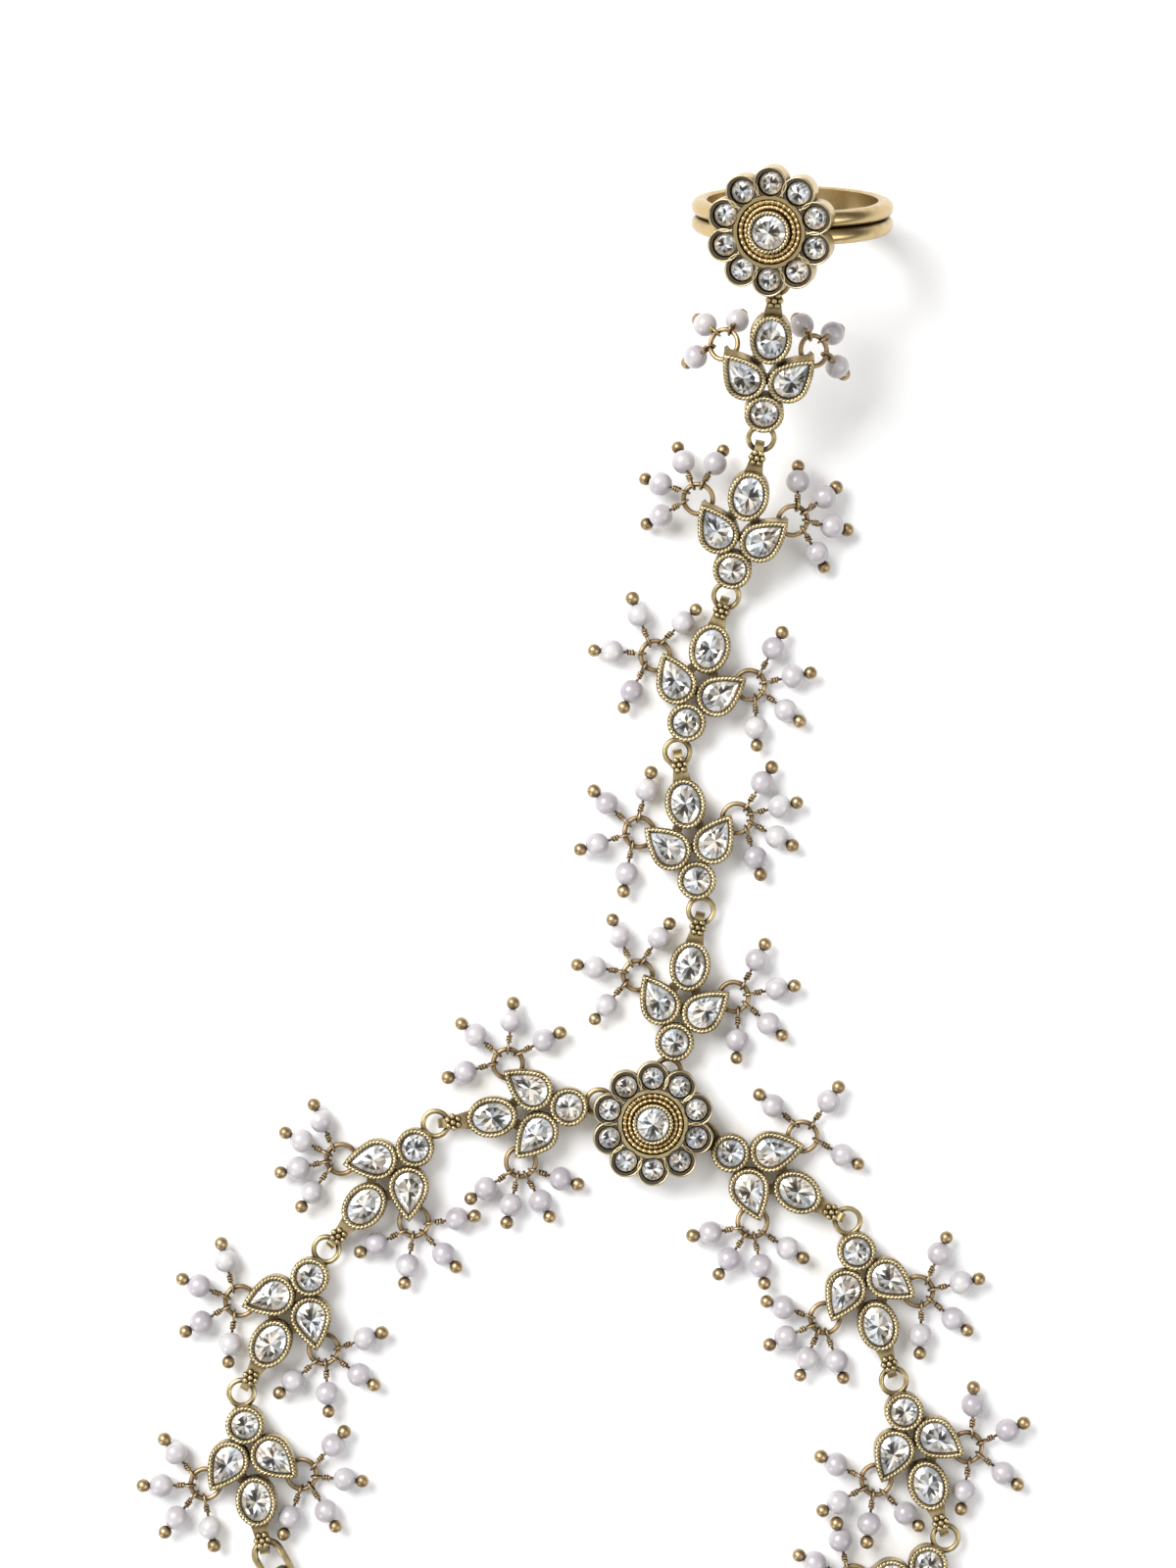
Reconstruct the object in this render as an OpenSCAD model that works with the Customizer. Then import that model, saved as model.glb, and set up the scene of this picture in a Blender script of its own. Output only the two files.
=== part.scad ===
// Hand chain bracelet: a finger ring with a flower head, five jewelled links
// down the back of the hand, a flower medallion, and a wrist loop of eight
// more links closed by a plain chain. It lies on a surface at z = 0, with the
// origin under the middle of the medallion. +Y points to the finger ring.

/* [Cluster link] */
// Half width of the round stone
round_stone_r = 1.4; // [1.2:0.05:1.5]
// Half width of the oval stone
oval_stone_b = 1.5; // [1.3:0.05:1.6]
// Half length of the oval stone
oval_stone_a = 2.0; // [1.8:0.05:2.1]
// Radius of the round end of a pear stone
pear_stone_r = 1.5; // [1.35:0.05:1.6]
// Distance from the middle of a pear's round end to its tip
pear_stone_tip = 2.75; // [2.5:0.05:2.9]
// Distance from the round stone to the middle of a pear's round end, along the link
pear_along = 3.4; // [3.3:0.05:3.6]
// The same distance across the link
pear_across = 2.12; // [2.05:0.01:2.2]
// Angle of a pear's tip away from the link's own line
pear_turn = 41; // [35:1:48]
// Distance from the round stone to the oval stone
oval_along = 7.85; // [7.7:0.05:8.1]
// Thickness of a setting's wall
bezel_wall = 0.5; // [0.4:0.05:0.6]
// Height of a setting above its underside
bezel_height = 1.6; // [1.4:0.05:2]
// Height of a setting's underside above the surface
bezel_lift = 1.1; // [0.95:0.05:1.2]
// Gap between a stone and its setting
stone_gap = 0.06; // [0.04:0.01:0.1]

/* [Joints between links] */
// Radius of the loop cast on a link's round end, to the middle of its wire
loop_r = 1.28; // [1.2:0.02:1.4]
// Thickness of the loop's wire
loop_wire = 0.54; // [0.45:0.01:0.6]
// Distance from the round stone back to the middle of its loop
loop_back = 3.1; // [3:0.05:3.3]
// Distance from the round stone to the middle of the rosette of grains
grain_along = 11.85; // [11.7:0.05:12]
// Radius of one grain
grain_r = 0.31; // [0.25:0.01:0.34]
// Thickness of a bail's bar, seen from the side
bail_bar = 0.4; // [0.35:0.01:0.45]
// Width of a bail's bar, seen from above
bail_width = 0.9; // [0.7:0.05:1]

/* [Drops] */
// Diameter of a pearl
pearl_d = 2.45; // [2.1:0.05:2.5]
// Diameter of the ball that ends a pin
ball_d = 1.4; // [1.1:0.05:1.5]
// Thickness of a pin's wire
pin_wire = 0.26; // [0.2:0.02:0.3]
// Radius of a pin's eye, to the middle of its wire
eye_r = 0.55; // [0.5:0.01:0.65]
// Distance from the middle of an eye to the middle of its pearl
pearl_reach = 2.9; // [2.7:0.05:3.2]
// Radius of a drop ring, to the middle of its wire
drop_ring_r = 1.5; // [1.35:0.05:1.6]
// Thickness of a drop ring's wire
drop_ring_wire = 0.5; // [0.4:0.02:0.52]

/* [Flower] */
// Number of petals
petals = 10; // [8:1:10]
// Radius of a petal's stone
petal_stone_r = 1.1; // [0.9:0.05:1.15]
// Distance from the flower's middle to a petal's stone
petal_at = 4.62; // [4.5:0.02:4.8]
// Thickness of the wall round a petal
petal_wall = 0.38; // [0.3:0.02:0.45]
// Radius of the stone in the middle
heart_stone_r = 1.65; // [1.4:0.05:1.7]
// Radius of the plain rim inside the petals, to its outside
rim_r = 3.5; // [3.4:0.02:3.52]
// Height of the petal walls above the flower's plate
petal_height = 1.65; // [1.4:0.05:1.9]
// Thickness of the flower's plate
plate = 0.55; // [0.45:0.05:0.7]

/* [Finger ring] */
// Inside radius of the finger ring
finger_r = 8.5; // [7.8:0.1:9.3]
// Width of the finger ring along the finger
band_width = 3.3; // [2.8:0.1:3.6]
// Thickness of the finger ring's band
band_thick = 1.5; // [1.2:0.05:1.7]
// Lean of the finger ring towards the chain
ring_lean = 17.6; // [10:0.2:22]
// Roll of the finger ring about the finger
ring_roll = 14; // [8:1:18]

/* [Closing chain] */
// Thickness of a chain link's wire
chain_wire = 0.7; // [0.6:0.05:0.8]
// Outside length of a chain link
chain_length = 5.2; // [5:0.1:5.6]
// Outside width of a chain link
chain_width = 3.4; // [3.2:0.1:3.6]
// How far the closing chain bows out below its two ends
chain_bow = 14; // [10:0.5:18]
// Outside length of the clasp
clasp_length = 9.6; // [8.5:0.1:11]

/* [Hidden] */
$fn = 32;

BRASS = [0.66, 0.56, 0.36];
GOLD = [0.72, 0.58, 0.33];
CRYSTAL = [0.9, 0.92, 0.93];
PEARL = [0.88, 0.84, 0.85];

// Slack is how far a link is drawn out of the one before it, beyond the
// middle of the play in their joint. Heading and pitch are in degrees: heading
// from +X turning left, pitch upwards. Ring tilt is that of the link's two drop
// rings, upwards from its own plane, and drop pitch that of the drops
// themselves, upwards from the surface.
HEADING = 0;
PITCH = 1;
SLACK = 2;
RING_TILT = 3;
DROP_PITCH = 4;
// Each row is one link, counted from the medallion outwards.
hand_run = [
    [78.5, 0, 0.1, 4, 8],
    [98.5, 0, -0.3, 4, 8],
    [72.7, 0, 0.1, 4, 8],
    [78.1, 20, 0.25, -12, -28],
    [86.0, 30, 0.0, -40, -60]
];
left_run = [
    [187.5, 0, 0.2, 4, 8],
    [229.0, 0, 0.35, 4, 8],
    [239.4, 0, 0.35, 4, 8],
    [278.4, 0, 0.0, 4, 8]
];
right_run = [
    [-30.4, 0, 0.35, 4, 8],
    [-73.9, 0, 0.35, 4, 8],
    [-71.8, 0, 0.2, 4, 8],
    [-126.0, 0, 0.0, 4, 8]
];
// Where each run's first loop sits in the medallion: angle and distance.
hand_start = [72.5, 5.35];
left_start = [160, 5.75];
right_start = [-16.3, 5.45];

// Each row is one link's fans of drops, left and right: the directions of the
// first and the last drop, and how many drops there are. Angles are from the
// direction of the tip, with plus towards the oval.
FIRST = 0;
LAST = 1;
COUNT = 2;
hand_fans = [
    [[65, -110, 4], [25, -130, 4]],
    [[65, -120, 4], [0, -130, 4]],
    [[70, -130, 4], [30, -120, 4]],
    [[60, -90, 4], [50, -95, 4]],
    [[70, -80, 3], [70, -80, 3]]
];
left_fans = [
    [[15, -115, 4], [50, -120, 4]],
    [[65, -100, 4], [45, -75, 4]],
    [[60, -100, 4], [65, -95, 4]],
    [[70, -90, 4], [45, -110, 4]]
];
right_fans = [
    [[40, -130, 3], [40, -100, 4]],
    [[60, -100, 4], [45, -85, 4]],
    [[70, -120, 4], [70, -95, 4]],
    [[60, -85, 4], [60, -90, 4]]
];
// How far an eye follows its drop's direction round the ring
eye_follow = 0.8;
// How far a drop ring swings about its lug before it meets the lug's post
swing_limit = 30;

// Outlines
OUTLINE_STEPS = 32;
GEM_STEPS = 12;
pear_side_r = 7;

// Stones and settings: how far a rim sits below its wall, and its cut
gem_sink = 0.25;
gem_crown = 0.3;
gem_depth = 0.95;
petal_sink = 0.6;
petal_crown = 0.25;
petal_depth = 0.75;
pocket_floor = 0.35;
neck_thick = 0.45;
neck_root = 1.0;
solder_r = 0.4;
solder_reach = 0.2;
solder_height = 1.1;

// Joints: a bail closes round the wire of the next link's loop
joint_z = bezel_lift + loop_wire/2;
joint_gap = 0.2;
bail_inner_r = 0.6;
bail_play = 0.5;
bail_at = grain_along + 0.1;
hook_along = bail_at + bail_play/2 + loop_r;
grain_plate_z = joint_z + loop_wire/2 + joint_gap;

// Lugs and drop rings
lug_window = 1.4;
lug_bar = 0.3;
lug_thick = 0.4;
lug_inset = 1.25;
lug_root = 0.2;
lug_z = lug_bar + (bezel_lift - lug_bar)/2;
ball_reach = pearl_reach + pearl_d/2 + ball_d/2 - 0.1;
collar_d = 0.68;
collar_length = 0.7;
eye_on_ring = drop_ring_r + (eye_r - pin_wire/2 - drop_ring_wire/2)/2;

// Flower
petal_pocket_r = petal_stone_r + 0.14;
lobe_r = petal_pocket_r + petal_wall;
flower_top = plate + petal_height;
rim_wall = 0.35;
heart_wall = 0.34;
flower_floor = flower_top - 0.3;
rim_rise = 0.15;
heart_top = flower_top + 0.4;
bead_r = 0.27;
medallion_z = bezel_lift + loop_wire + joint_gap;
foot_r = 2.9;
staple_at = 4.0;
staple_play = 0.4;

// Closing chain
chain_play = 0.4;
chain_hook = 0.4;
clasp_wire = 1.0;
clasp_width = 4.6;
clasp_sleeve = 2.4;

// Finger ring
head_z = finger_r + band_thick - 0.4;
head_loop_at = 5.3;
head_loop_z = head_z - 1.75;
head_post_r = 0.4;
band_edge = band_width/2;
band_round = band_width/4;
band_flat = 0.15;

function dir(angle) = [cos(angle), sin(angle)];
function link_dir(h, p) = [cos(p)*cos(h), cos(p)*sin(h), sin(p)];
function link_up(h, p) = [-sin(p)*cos(h), -sin(p)*sin(h), cos(p)];
function run_length(row) = loop_back + hook_along + row[SLACK];

// A loop's middle from the wire that a bail holds, drawn along dir, for a loop
// that lies square to up
function loop_from(wire, dir, up) =
    let (level = dir - (dir*up)*up)
    wire + loop_r*level/norm(level);
function way_of(row) = link_dir(row[HEADING], row[PITCH]);
function bail_wire(loop, row) = loop + (run_length(row) - loop_r)*way_of(row);

// The middle of the loop of link i, counted from the medallion
function loop_at(run, start, i) =
    i == 0 ? [start[1]*cos(start[0]), start[1]*sin(start[0]), joint_z]
           : loop_from(bail_wire(loop_at(run, start, i - 1), run[i - 1]), way_of(run[i - 1]),
                       link_up(run[i][HEADING], run[i][PITCH]));

// Where link i lies: the point under its round stone, at the link's underside
function link_origin(run, start, i) =
    let (h = run[i][HEADING], p = run[i][PITCH])
    loop_at(run, start, i) + loop_back*link_dir(h, p) - joint_z*link_up(h, p);
module at_link(run, start, i) {
    translate(link_origin(run, start, i)) rotate([0, -run[i][PITCH], run[i][HEADING]]) children();
}

// The finger ring stands on the surface with its loop in the last bail.
function ring_turn(v) =
    let (x = v[0]*cos(ring_roll) - v[2]*sin(ring_roll),
         z = v[0]*sin(ring_roll) + v[2]*cos(ring_roll))
    [x, v[1]*cos(ring_lean) - z*sin(ring_lean), v[1]*sin(ring_lean) + z*cos(ring_lean)];
head_loop = ring_turn([0, -head_loop_at, head_loop_z]);
head_up = ring_turn([0, 0, 1]);
ring_z = (finger_r + band_thick - band_round)*cos(ring_lean) + band_round*sin(ring_lean)
    + band_round;
last = len(hand_run) - 1;

// The last link's pitch follows from the height of the finger ring's loop.
function with_pitch(row, p) =
    [row[HEADING], p, row[SLACK], row[RING_TILT], row[DROP_PITCH]];
function run_with(p) = [for (i = [0:last]) i < last ? hand_run[i] : with_pitch(hand_run[i], p)];
function head_middle(run) =
    loop_from(bail_wire(loop_at(run, hand_start, last), run[last]), way_of(run[last]), head_up);
function settled(p, tries) =
    tries == 0 ? p
    : settled(p + (ring_z + head_loop[2] - head_middle(run_with(p))[2])
                  /(run_length(hand_run[last])*cos(p))*180/PI, tries - 1);
hand_path = run_with(settled(hand_run[last][PITCH], 12));
ring_at = head_middle(hand_path) - head_loop;

// A pear's outline: a round end, and two wide arcs that meet at its tip.
// Grow moves the whole outline outwards.
pear_x = (pow(pear_side_r - pear_stone_r, 2) - pow(pear_side_r, 2)
    + pow(pear_stone_tip, 2))/(2*pear_stone_tip);
pear_y = sqrt(pow(pear_side_r - pear_stone_r, 2) - pow(pear_x, 2));
function pear_tip(grow) = pear_x + sqrt(pow(pear_side_r + grow, 2) - pow(pear_y, 2));
function pear_points(grow, steps) =
    let (side = pear_side_r + grow,
         join = atan2(pear_y, -pear_x),
         tip = asin(pear_y/side),
         n = floor(steps/5),
         m = steps - 2*n,
         upper = [for (k = [0:n - 1])
             [pear_x, -pear_y] + side*dir(tip + (join - tip)*k/n)],
         round_end = [for (k = [0:m])
             (pear_stone_r + grow)*dir(join + (360 - 2*join)*k/m)],
         lower = [for (k = [n - 1:-1:1])
             [pear_x, pear_y] + side*dir(-tip - (join - tip)*k/n)])
    concat(upper, round_end, lower);
function oval_points(grow, steps) =
    [for (k = [0:steps - 1])
        [(oval_stone_a + grow)*cos(360*k/steps), (oval_stone_b + grow)*sin(360*k/steps)]];
function round_points(r, steps) = [for (k = [0:steps - 1]) r*dir(360*k/steps)];

// Stones

// A cut stone: a flat table, a sloping crown and a pointed back under its rim
module gem(points, crown, depth, share) {
    n = len(points);
    polyhedron(
        points = concat(
            [for (p = points) [p[0], p[1], 0]],
            [for (p = points) [p[0]*share, p[1]*share, crown]],
            [[0, 0, -depth]]),
        faces = concat(
            [[for (k = [n - 1:-1:0]) n + k]],
            [for (k = [0:n - 1]) [k, n + k, n + (k + 1)%n, (k + 1)%n]],
            [for (k = [0:n - 1]) [k, (k + 1)%n, 2*n]]));
}

module link_stones() {
    gem_z = bezel_lift + bezel_height - gem_sink;
    translate([0, 0, gem_z]) gem(round_points(round_stone_r, GEM_STEPS), gem_crown, gem_depth, 0.6);
    translate([oval_along, 0, gem_z]) gem(oval_points(0, GEM_STEPS), gem_crown, gem_depth, 0.6);
    for (side = [-1, 1])
        at_pear(side) translate([0, 0, gem_z])
            gem(pear_points(0, GEM_STEPS), gem_crown, gem_depth, 0.6);
}

module flower_stones() {
    for (k = [0:petals - 1])
        rotate([0, 0, 360*k/petals]) translate([0, petal_at, flower_top - petal_sink])
            gem(round_points(petal_stone_r, GEM_STEPS), petal_crown, petal_depth, 0.6);
    translate([0, 0, heart_top - gem_sink])
        gem(round_points(heart_stone_r, GEM_STEPS + 4), gem_crown, gem_depth, 0.6);
}

// Castings

// Puts children drawn about a pear's round end, tip along +X, at the link's side
module at_pear(side) {
    translate([pear_along, side*pear_across, 0]) rotate([0, 0, side*pear_turn]) children();
}

// Everything that a link's settings cover, with the outline grown by grow
module link_plan(grow) {
    circle(r = round_stone_r + grow, $fn = 64);
    translate([oval_along, 0]) polygon(oval_points(grow, OUTLINE_STEPS));
    for (side = [-1, 1])
        translate([pear_along, side*pear_across]) rotate(side*pear_turn)
            polygon(pear_points(grow, OUTLINE_STEPS));
}

// Drops of solder where the settings of a link meet
module solder_plan() {
    rim = stone_gap + bezel_wall;
    pear_way = [pear_along, pear_across]/norm([pear_along, pear_across]);
    oval_way = [oval_along - pear_along, -pear_across]
        /norm([oval_along - pear_along, -pear_across]);
    translate([pear_along, 0]) circle(r = solder_r);
    for (side = [-1, 1]) {
        at = (round_stone_r + rim)*pear_way;
        translate([at[0], side*at[1]]) circle(r = solder_r);
        to_oval = [pear_along, pear_across] + (pear_stone_r + rim + solder_reach)*oval_way;
        translate([to_oval[0], side*to_oval[1]]) {
            circle(r = solder_r + 0.1);
            rotate(side*atan2(oval_way[1], oval_way[0]))
                translate([0, -solder_r/2]) square([pear_stone_r + solder_r, solder_r]);
        }
    }
}

// A slot with round ends, from the origin along +X
module slot_plan(run, r) {
    circle(r = r);
    translate([run, 0]) circle(r = r);
    translate([0, -r]) square([run, 2*r]);
}

// A closed bail seen from the side: it stands on edge along +X, its window
// about the height of the joints
module bail(at, play) {
    translate([at, bail_width/2, joint_z]) rotate([90, 0, 0]) linear_extrude(bail_width)
        difference() {
            slot_plan(play, bail_inner_r + bail_bar);
            slot_plan(play, bail_inner_r);
        }
}

module wire_ring(r, wire) {
    rotate_extrude() translate([r, 0]) circle(d = wire);
}

// The flat loop behind a round end
module loop() {
    translate([-loop_back, 0, joint_z]) wire_ring(loop_r, loop_wire);
}

// The lug under a pear's tip, with a window for the drop ring
module lug() {
    window_top = bezel_lift;
    at = pear_tip(bezel_wall + stone_gap) - lug_inset;
    translate([at - lug_window/2 - lug_bar, -lug_thick/2, 0]) difference() {
        cube([lug_window + 2*lug_bar, lug_thick, window_top + lug_root]);
        translate([lug_bar, -1, lug_bar]) cube([lug_window, lug_thick + 2, window_top - lug_bar]);
    }
}

// The neck beyond the oval, its rosette of grains and the bail below them
module neck() {
    translate([0, 0, grain_plate_z]) {
        linear_extrude(neck_thick) polygon([
            [oval_along + oval_stone_a, -neck_root], [grain_along, -grain_r*2],
            [grain_along, grain_r*2], [oval_along + oval_stone_a, neck_root]]);
        translate([grain_along, 0, 0]) cylinder(r = grain_r*2.5, h = neck_thick);
    }
    translate([grain_along, 0, grain_plate_z + neck_thick]) {
        translate([0, 0, grain_r*0.4]) sphere(r = grain_r);
        for (k = [0:5])
            rotate([0, 0, 60*k + 30]) translate([grain_r*1.9, 0, 0]) sphere(r = grain_r);
    }
    bail(bail_at, bail_play);
}

module link_casting() {
    difference() {
        translate([0, 0, bezel_lift]) {
            linear_extrude(bezel_height) link_plan(stone_gap + bezel_wall);
            linear_extrude(solder_height) solder_plan();
        }
        translate([0, 0, bezel_lift + pocket_floor]) linear_extrude(bezel_height)
            link_plan(stone_gap);
    }
    loop();
    neck();
    for (side = [-1, 1]) at_pear(side) lug();
}

// A flower: a plate with raised petal walls, a rim, two rows of beading and
// the setting in the middle. Its underside is at z = 0.
module flower_casting() {
    difference() {
        union() {
            linear_extrude(flower_top) {
                circle(r = petal_at);
                for (k = [0:petals - 1])
                    rotate(360*k/petals) translate([0, petal_at]) circle(r = lobe_r);
            }
            cylinder(r = rim_r, h = flower_top + rim_rise);
            cylinder(r = heart_stone_r + stone_gap + heart_wall, h = heart_top);
        }
        for (k = [0:petals - 1])
            rotate([0, 0, 360*k/petals]) translate([0, petal_at, plate])
                cylinder(r = petal_pocket_r, h = petal_height + 1);
        difference() {
            translate([0, 0, flower_floor]) cylinder(r = rim_r - rim_wall, h = 2);
            cylinder(r = heart_stone_r + stone_gap + heart_wall, h = heart_top);
        }
        translate([0, 0, plate]) cylinder(r = heart_stone_r + stone_gap, h = heart_top);
    }
    for (row = [0, 1])
        translate([0, 0, flower_floor])
            wire_ring(heart_stone_r + stone_gap + heart_wall + bead_r*(1 + 2*row), 2*bead_r);
}

module medallion_casting() {
    translate([0, 0, medallion_z]) flower_casting();
    cylinder(r = foot_r, h = medallion_z + plate/2);
    for (start = [hand_start, left_start, right_start])
        rotate([0, 0, start[0]]) bail(staple_at, staple_play);
}

// The finger ring about its own middle, the finger along Y and the flower up
module ring_casting() {
    rotate([90, 0, 0]) rotate_extrude($fn = 96) difference() {
        union() {
            for (side = [-1, 1])
                translate([finger_r + band_thick - band_round, side*band_round]) circle(r = band_round);
            translate([finger_r - 1, -band_edge + band_flat])
                square([band_thick - band_round + 1, band_width - 2*band_flat]);
        }
        translate([finger_r - 2, -band_width]) square([2, 2*band_width]);
    }
    translate([0, 0, head_z]) flower_casting();
    translate([0, -head_loop_at, head_loop_z]) {
        wire_ring(loop_r, loop_wire);
        translate([0, loop_r, 0]) cylinder(r = head_post_r, h = head_z - head_loop_z + plate/2);
    }
}

module at_ring() {
    translate(ring_at) rotate([ring_lean, 0, 0]) rotate([0, -ring_roll, 0]) children();
}

// Drops

// A direction from its heading and its pitch
function way(h, p) = [cos(p)*cos(h), cos(p)*sin(h), sin(p)];

// A link's own directions, and a vector of the link's frame turned to them
function turned(row, v) =
    let (h = row[HEADING], p = row[PITCH])
    v[0]*link_dir(h, p) + v[1]*[-sin(h), cos(h), 0] + v[2]*link_up(h, p);

// A drop ring swings to the middle of its fan, as far as its lug lets it
function swing(fan) = max(-swing_limit, min(swing_limit, (fan[FIRST] + fan[LAST])/2));

// The lug of a link's side, in the link's frame
function lug_at(side) =
    let (t = pear_tip(bezel_wall + stone_gap) - lug_inset)
    [pear_along + t*cos(pear_turn), side*(pear_across + t*sin(pear_turn)), lug_z];

// One drop: its eye about the origin, its pin along +X with the pearl and ball
module drop() {
    rotate([90, 0, 0]) wire_ring(eye_r, pin_wire);
    rotate([0, 90, 0]) {
        translate([0, 0, eye_r]) cylinder(d = pin_wire, h = ball_reach - eye_r);
        translate([0, 0, eye_r + pin_wire/2]) cylinder(d = collar_d, h = collar_length);
        translate([0, 0, pearl_reach]) sphere(d = pearl_d);
        translate([0, 0, ball_reach]) sphere(d = ball_d);
    }
}

// One link's drops. Each eye lies across the drop ring's wire as nearly as the
// direction of its drop allows.
module drops(run, start, fans, i) {
    row = run[i];
    link = link_origin(run, start, i);
    for (s = [0, 1]) {
        side = s == 0 ? 1 : -1;
        fan = fans[i][s];
        heading = side*(pear_turn - swing(fan));
        out = turned(row, way(heading, row[RING_TILT]));
        across = turned(row, [-sin(heading), cos(heading), 0]);
        middle = link + turned(row, lug_at(side)) + drop_ring_r*out;
        for (k = [0:fan[COUNT] - 1]) {
            lies = fan[FIRST] + (fan[LAST] - fan[FIRST])*k/(fan[COUNT] - 1);
            round = -side*eye_follow*(lies - swing(fan));
            eye = middle + eye_on_ring*(cos(round)*out + sin(round)*across);
            wire = cos(round)*across - sin(round)*out;
            h = row[HEADING] + side*(pear_turn - lies);
            p = row[DROP_PITCH];
            roll = atan2(wire*[-sin(p)*cos(h), -sin(p)*sin(h), cos(p)], wire*[-sin(h), cos(h), 0]);
            translate(eye) rotate([0, -p, h]) rotate([roll, 0, 0]) drop();
        }
    }
}

module drop_rings(run, start, fans) {
    for (i = [0:len(run) - 1])
        at_link(run, start, i)
            for (s = [0, 1]) {
                side = s == 0 ? 1 : -1;
                translate(lug_at(side))
                    rotate([0, -run[i][RING_TILT], side*(pear_turn - swing(fans[i][s]))])
                        translate([drop_ring_r, 0, 0]) wire_ring(drop_ring_r, drop_ring_wire);
            }
}

// Closing chain: rings along an arc between the last bails of the two arms

// A ring with straight sides, flat about the origin with its length along X
module long_ring(length, width, wire) {
    straight = length - width;
    for (end = [-1, 1])
        translate([end*straight/2, 0, 0]) rotate([0, 0, -90*end])
            rotate_extrude(angle = 180) translate([(width - wire)/2, 0]) circle(d = wire);
    for (side = [-1, 1])
        translate([-straight/2, side*(width - wire)/2, 0]) rotate([0, 90, 0])
            cylinder(d = wire, h = straight);
}

function arm_end(run, start) =
    let (i = len(run) - 1,
         h = run[i][HEADING],
         out = loop_back + bail_at + bail_play + bail_inner_r + bail_bar/2 - chain_hook)
    loop_at(run, start, i) + out*link_dir(h, 0);
chain_a = arm_end(left_run, left_start);
chain_b = arm_end(right_run, right_start);
chord = norm(chain_b - chain_a);
arc_r = (pow(chord/2, 2) + pow(chain_bow, 2))/(2*chain_bow);
half_angle = asin(chord/2/arc_r);
arc_length = arc_r*2*half_angle*PI/180;
chord_turn = atan2(chain_b[1] - chain_a[1], chain_b[0] - chain_a[0]);
chain_step = chain_length - 2*chain_wire - chain_play;
clasp_step = clasp_length - 2*clasp_wire - chain_play;
// The arc ends just short of the two bails' bars, and each end ring lies half a
// step in from there, closed round its bar.
chain_count = ceil((arc_length - clasp_step)/chain_step);
closeness = arc_length/(chain_count*chain_step + clasp_step);
clasp_index = floor(chain_count/2);
function step_of(k) = closeness*(k == clasp_index ? clasp_step : chain_step);
function along(k) = k == 0 ? step_of(0)/2 : along(k - 1) + (step_of(k - 1) + step_of(k))/2;

// Puts children at a distance along the arc from the left arm's end
module at_arc(distance) {
    turn = -half_angle + distance/arc_r*180/PI;
    middle = (chain_a + chain_b)/2;
    translate([middle[0], middle[1], joint_z]) rotate([0, 0, chord_turn])
        translate([arc_r*sin(turn), arc_r*cos(half_angle) - arc_r*cos(turn), 0])
            rotate([0, 0, turn]) children();
}

module closing_chain() {
    for (k = [0:chain_count])
        if (k != clasp_index)
            at_arc(along(k)) {
                flat_end = k == 0 || k == chain_count;
                roll = flat_end ? 0 : k%2 == 0 ? 45 : -45;
                rotate([roll, 0, 0]) long_ring(chain_length, chain_width, chain_wire);
            }
}

module clasp() {
    at_arc(along(clasp_index)) {
        long_ring(clasp_length, clasp_width, clasp_wire);
        translate([-clasp_sleeve/2, (clasp_width - clasp_wire)/2, 0]) rotate([0, 90, 0])
            cylinder(d = clasp_wire*1.5, h = clasp_sleeve);
    }
}

// Colours and places of the nodes
module ring_node() {
    color(GOLD) at_ring() ring_casting();
}
module flower_stones_on_ring() {
    color(CRYSTAL) at_ring() translate([0, 0, head_z]) flower_stones();
}
module medallion_node() {
    color(BRASS) medallion_casting();
}
module flower_stones_on_medallion() {
    color(CRYSTAL) translate([0, 0, medallion_z]) flower_stones();
}
module link_node(run, start, i) {
    color(BRASS) at_link(run, start, i) link_casting();
}
module stones_node(run, start) {
    color(CRYSTAL) for (i = [0:len(run) - 1]) at_link(run, start, i) link_stones();
}
module drop_rings_node(run, start, fans) {
    color(BRASS) drop_rings(run, start, fans);
}
module drops_node(run, start, fans, i) {
    color(PEARL) drops(run, start, fans, i);
}

ring_node();  // finger_ring
flower_stones_on_ring();  // ring_stones
medallion_node();  // hand_medallion
flower_stones_on_medallion();  // medallion_stones
for (i = [0:len(hand_path) - 1]) {
    link_node(hand_path, hand_start, i);
    drops_node(hand_path, hand_start, hand_fans, i);
}
for (i = [0:len(left_run) - 1]) {
    link_node(left_run, left_start, i);
    drops_node(left_run, left_start, left_fans, i);
}
for (i = [0:len(right_run) - 1]) {
    link_node(right_run, right_start, i);
    drops_node(right_run, right_start, right_fans, i);
}
stones_node(hand_path, hand_start);  // hand_stones
stones_node(left_run, left_start);  // left_stones
stones_node(right_run, right_start);  // right_stones
drop_rings_node(hand_path, hand_start, hand_fans);  // hand_drop_rings
drop_rings_node(left_run, left_start, left_fans);  // left_drop_rings
drop_rings_node(right_run, right_start, right_fans);  // right_drop_rings
color(BRASS) closing_chain();
color(BRASS) clasp();
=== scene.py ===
"""Looks of the hand chain bracelet: rope rims, cut stones, pearls on wrapped pins, and antiqued metal."""
import math
import random

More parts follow.
